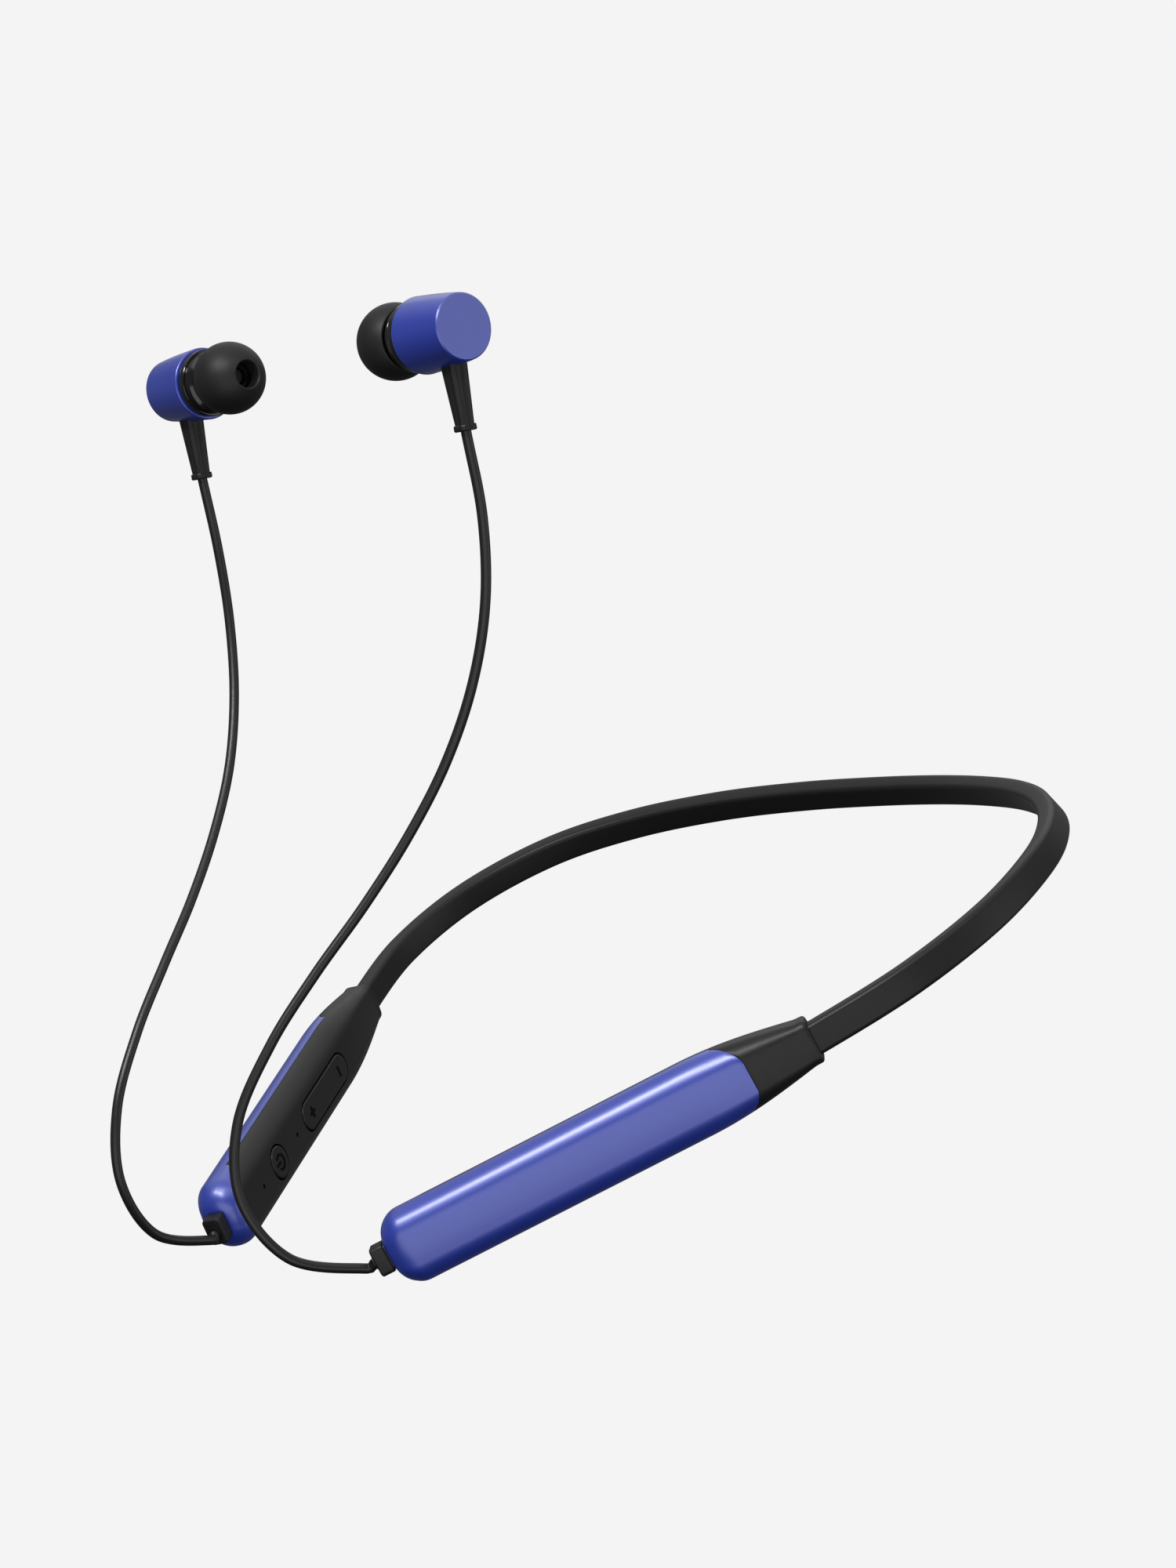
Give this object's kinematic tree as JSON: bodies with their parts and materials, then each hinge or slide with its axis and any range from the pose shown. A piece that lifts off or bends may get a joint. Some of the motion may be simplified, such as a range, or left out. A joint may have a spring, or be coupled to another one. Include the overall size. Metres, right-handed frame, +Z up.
{
  "type": "neckband earphones",
  "caption": "Wireless earphones: a springy silicone neckband carries a control pod and a battery pod, each with a thin cord up to a barrel-shaped in-ear bud with a silicone tip.",
  "frame": {"origin": "middle of the neckband's back, where it rests on the back of the neck", "axes": "+X to the wearer's left, -Y to the wearer's front, +Z up; the neckband tips forward over the shoulders and the buds are at the ears"},
  "size_m": [0.1648, 0.153, 0.1521],
  "materials": {
    "silicone": "matte black silicone",
    "blue_metal": "satin metallic blue",
    "black_plastic": "fine matte black",
    "gloss_black": "polished black",
    "cord_jacket": "satin black elastomer",
    "steel": "bright steel",
    "board_green": "solder-masked laminate",
    "foil": "foil and shield cans",
    "magnet": "nickel-plated magnet",
    "film": "thin clear film",
    "lens": "clear light guide",
    "copper": "enamelled copper conductors"
  },
  "bodies": {
    "neckband": {"neckband_back": "silicone", "memory_wire_back": "steel", "link_cable_back": "copper"},
    "left_arm": {"neckband_left": "silicone", "memory_wire_left": "steel", "link_cable_left": "copper", "left_outer_shell": "blue_metal", "left_inner_cover": "black_plastic", "left_cord_outlet": "black_plastic", "left_cord": "cord_jacket", "left_bud_housing": "blue_metal", "left_bud_bezel": "gloss_black", "left_bud_stem": "silicone", "left_bud_magnet": "magnet", "left_nozzle_mesh": "steel", "left_driver_diaphragm": "film", "left_driver_basket": "steel", "left_driver_magnet": "magnet", "battery_cell": "foil", "battery_board": "board_green"},
    "right_arm": {"neckband_right": "silicone", "memory_wire_right": "steel", "link_cable_right": "copper", "right_outer_shell": "blue_metal", "right_inner_cover": "black_plastic", "right_cord_outlet": "black_plastic", "right_cord": "cord_jacket", "right_bud_housing": "blue_metal", "right_bud_bezel": "gloss_black", "right_bud_stem": "silicone", "right_bud_magnet": "magnet", "right_nozzle_mesh": "steel", "right_driver_diaphragm": "film", "right_driver_basket": "steel", "right_driver_magnet": "magnet", "main_board": "board_green", "play_switch": "steel", "volume_up_switch": "steel", "volume_down_switch": "steel", "status_light_pipe": "lens", "microphone": "foil", "bluetooth_module": "foil", "usb_port_shell": "steel", "usb_port_tongue": "gloss_black"},
    "multifunction_button": {"multifunction_button": "black_plastic"},
    "volume_rocker": {"volume_rocker": "black_plastic"},
    "left_ear_tip": {"left_ear_tip": "silicone"},
    "right_ear_tip": {"right_ear_tip": "silicone"}
  },
  "joints": [
    {"name": "left_arm_flex", "type": "hinge", "parent": "neckband", "child": "left_arm", "pos_m": [0.06319, -0.02336, -0.00621], "axis": [-0.241, -0.5989, 0.7637], "range_deg": [-6, 12], "stiffness_Nm_per_rad": 0.6},
    {"name": "right_arm_flex", "type": "hinge", "parent": "neckband", "child": "right_arm", "pos_m": [-0.06319, -0.02336, -0.00621], "axis": [-0.241, 0.5989, -0.7637], "range_deg": [-6, 12], "stiffness_Nm_per_rad": 0.6},
    {"name": "multifunction_button_press", "type": "slide", "parent": "right_arm", "child": "multifunction_button", "axis": [-0.8129, -0.547, -0.1998], "range_m": [0, 0.00025], "stiffness_N_per_m": 500},
    {"name": "volume_rocker_tilt", "type": "hinge", "parent": "right_arm", "child": "volume_rocker", "pos_m": [-0.04983, -0.09613, -0.05265], "axis": [0.1151, -0.4872, 0.8657], "range_deg": [-1.4, 1.4], "stiffness_Nm_per_rad": 0.2},
    {"name": "left_ear_tip_pull", "type": "slide", "parent": "left_arm", "child": "left_ear_tip", "axis": [-0.9934, -0.1044, -0.048], "range_m": [0, 0.007]},
    {"name": "right_ear_tip_pull", "type": "slide", "parent": "right_arm", "child": "right_ear_tip", "axis": [0.9934, 0.1044, 0.048], "range_m": [0, 0.007]}
  ]
}
